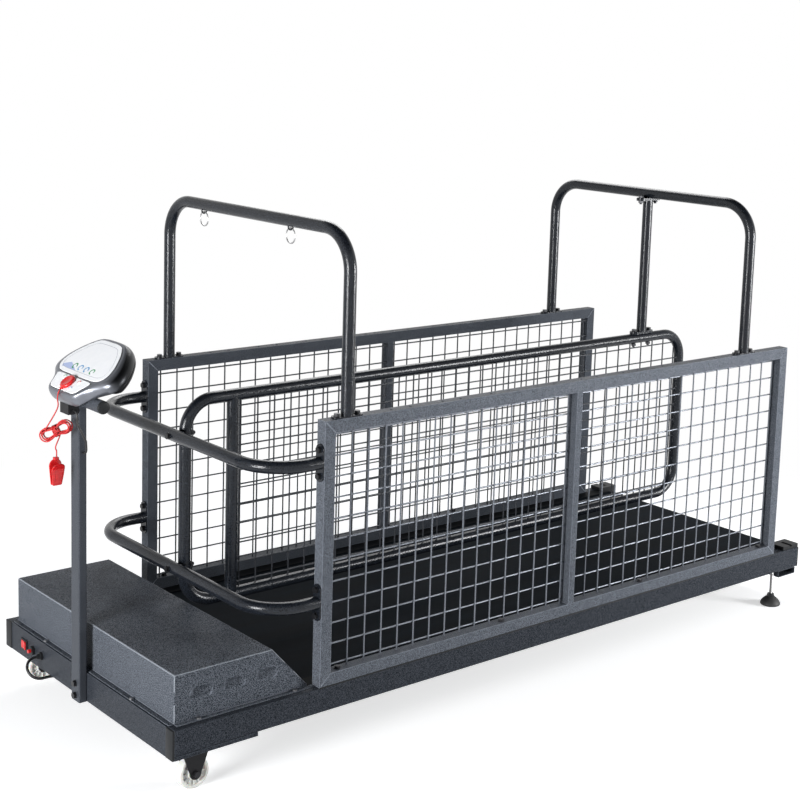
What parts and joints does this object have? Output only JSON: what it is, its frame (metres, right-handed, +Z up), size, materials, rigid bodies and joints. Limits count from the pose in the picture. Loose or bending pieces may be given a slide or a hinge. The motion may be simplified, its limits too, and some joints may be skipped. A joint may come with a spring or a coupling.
{
  "type": "dog treadmill",
  "caption": "Motor-driven dog treadmill: belt bed on rails, wire-mesh side panels, tube arches with leash rings, a lane divider, front bars and a console on a post.",
  "frame": {"origin": "on the floor, at the middle of the length and width", "axes": "+X to the rear end where the dog steps on, -X to the console, +Y to the side with the power switch, +Z up"},
  "size_m": [2.2788, 0.846, 1.233],
  "materials": {
    "graphite_paint": "hammered powder coat",
    "black_paint": "satin paint",
    "black_plastic": "moulded, matt",
    "motor_iron": "painted casting",
    "zinc_steel": "zinc plated",
    "black_rubber": "woven or smooth, matt",
    "foot_rubber": "moulded, matt",
    "deck_wood": "coated board",
    "silver_plastic": "silver lacquer",
    "white_film": "printed film",
    "wheel_plastic": "milky polyurethane",
    "red_plastic": "moulded, gloss",
    "red_cord": "braided",
    "green_plastic": "printed film",
    "blue_plastic": "printed film"
  },
  "bodies": {
    "base": {"right_rail": "graphite_paint", "left_rail": "graphite_paint", "tube_caps": "black_plastic", "front_pan": "graphite_paint", "cross_members": "graphite_paint", "running_deck": "deck_wood", "deck_cushions": "black_rubber", "running_belt": "black_rubber", "side_strips": "graphite_paint", "roller_shafts": "zinc_steel", "rear_roller_blocks": "black_plastic", "drive_motor": "motor_iron", "drive_belt": "black_rubber", "motor_controller": "black_plastic", "motor_hood": "graphite_paint", "hood_screws": "zinc_steel", "right_panel_frame": "graphite_paint", "left_panel_frame": "graphite_paint", "right_panel_mesh": "graphite_paint", "left_panel_mesh": "graphite_paint", "panel_bolts": "zinc_steel", "front_arch": "graphite_paint", "rear_arch": "graphite_paint", "drop_tube": "graphite_paint", "divider_frame": "graphite_paint", "divider_mesh": "graphite_paint", "upper_front_bar": "graphite_paint", "lower_front_bar": "graphite_paint", "frame_bolts": "zinc_steel", "console_post": "graphite_paint", "console_bracket": "black_paint", "console_shell": "silver_plastic", "console_back": "black_plastic", "face_overlays": "white_film", "console_cable": "black_rubber", "switch_housings": "black_plastic", "cord_gland": "black_plastic", "mains_cord": "black_rubber", "cord_coil": "black_rubber", "mains_plug": "black_rubber", "castor_forks": "black_paint"},
    "front_roller": {"front_roller": "zinc_steel"},
    "rear_roller": {"rear_roller": "zinc_steel"},
    "motor_pulley": {"motor_pulley": "zinc_steel"},
    "right_castor_wheel": {"right_castor_wheel": "wheel_plastic"},
    "left_castor_wheel": {"left_castor_wheel": "wheel_plastic"},
    "right_foot": {"right_foot": "foot_rubber"},
    "left_foot": {"left_foot": "foot_rubber"},
    "right_ring": {"right_ring": "zinc_steel"},
    "left_ring": {"left_ring": "zinc_steel"},
    "rocker": {"rocker": "red_plastic"},
    "reset_button": {"reset_button": "red_plastic"},
    "green_key": {"green_key": "green_plastic"},
    "red_key": {"red_key": "red_plastic"},
    "blue_key": {"blue_key": "blue_plastic"},
    "clip_jaw": {"clip_jaw": "red_plastic"},
    "safety_key": {"safety_key": "red_plastic", "lanyard": "red_cord", "lanyard_hank": "red_cord", "clip_body": "red_plastic"}
  },
  "joints": [
    {"name": "front_roller_spin", "type": "hinge", "parent": "base", "child": "front_roller", "pos_m": [-0.73306, 0, 0.133], "axis": [0, 1, 0], "continuous": true},
    {"name": "rear_roller_spin", "type": "hinge", "parent": "base", "child": "rear_roller", "pos_m": [1.08695, 0, 0.133], "axis": [0, 1, 0], "continuous": true},
    {"name": "motor_spin", "type": "hinge", "parent": "base", "child": "motor_pulley", "pos_m": [-0.91305, 0, 0.19], "axis": [0, 1, 0], "continuous": true},
    {"name": "right_castor_spin", "type": "hinge", "parent": "base", "child": "right_castor_wheel", "pos_m": [-0.98806, -0.366, 0.0375], "axis": [0, 1, 0], "continuous": true},
    {"name": "left_castor_spin", "type": "hinge", "parent": "base", "child": "left_castor_wheel", "pos_m": [-0.98806, 0.366, 0.0375], "axis": [0, 1, 0], "continuous": true},
    {"name": "right_foot_screw", "type": "slide", "parent": "base", "child": "right_foot", "axis": [0, 0, 1], "range_m": [-0.02, 0.02]},
    {"name": "left_foot_screw", "type": "slide", "parent": "base", "child": "left_foot", "axis": [0, 0, 1], "range_m": [-0.02, 0.02]},
    {"name": "right_ring_swing", "type": "hinge", "parent": "base", "child": "right_ring", "pos_m": [-0.60406, -0.157, 1.20005], "axis": [0, 1, 0], "range_deg": [-80, 80]},
    {"name": "left_ring_swing", "type": "hinge", "parent": "base", "child": "left_ring", "pos_m": [-0.60406, 0.225, 1.20005], "axis": [0, 1, 0], "range_deg": [-80, 80]},
    {"name": "rocker_tilt", "type": "hinge", "parent": "base", "child": "rocker", "pos_m": [-1.06156, 0.305, 0.129], "axis": [0, 0, 1], "range_deg": [0, 16]},
    {"name": "reset_push", "type": "slide", "parent": "base", "child": "reset_button", "axis": [1, 0, 0], "range_m": [0, 0.003]},
    {"name": "green_key_press", "type": "slide", "parent": "base", "child": "green_key", "axis": [0.5878, 0, -0.809], "range_m": [0, 0.0004], "stiffness_N_per_m": 1500},
    {"name": "red_key_press", "type": "slide", "parent": "base", "child": "red_key", "axis": [0.5878, 0, -0.809], "range_m": [0, 0.0004], "stiffness_N_per_m": 1500},
    {"name": "blue_key_press", "type": "slide", "parent": "base", "child": "blue_key", "axis": [0.5878, 0, -0.809], "range_m": [0, 0.0004], "stiffness_N_per_m": 1500},
    {"name": "safety_key_pull", "type": "slide", "parent": "base", "child": "safety_key", "axis": [-0.5878, 0, 0.809], "range_m": [0, 0.02]},
    {"name": "clip_jaw_open", "type": "hinge", "parent": "safety_key", "child": "clip_jaw", "pos_m": [-1.12305, 0.006, 0.653], "axis": [-1, 0, 0], "range_deg": [0, 15], "stiffness_Nm_per_rad": 0.3}
  ],
  "couplings": [
    {"joint": "rear_roller_spin", "follows": "front_roller_spin", "ratio": 1},
    {"joint": "motor_spin", "follows": "front_roller_spin", "ratio": 1.5556}
  ]
}
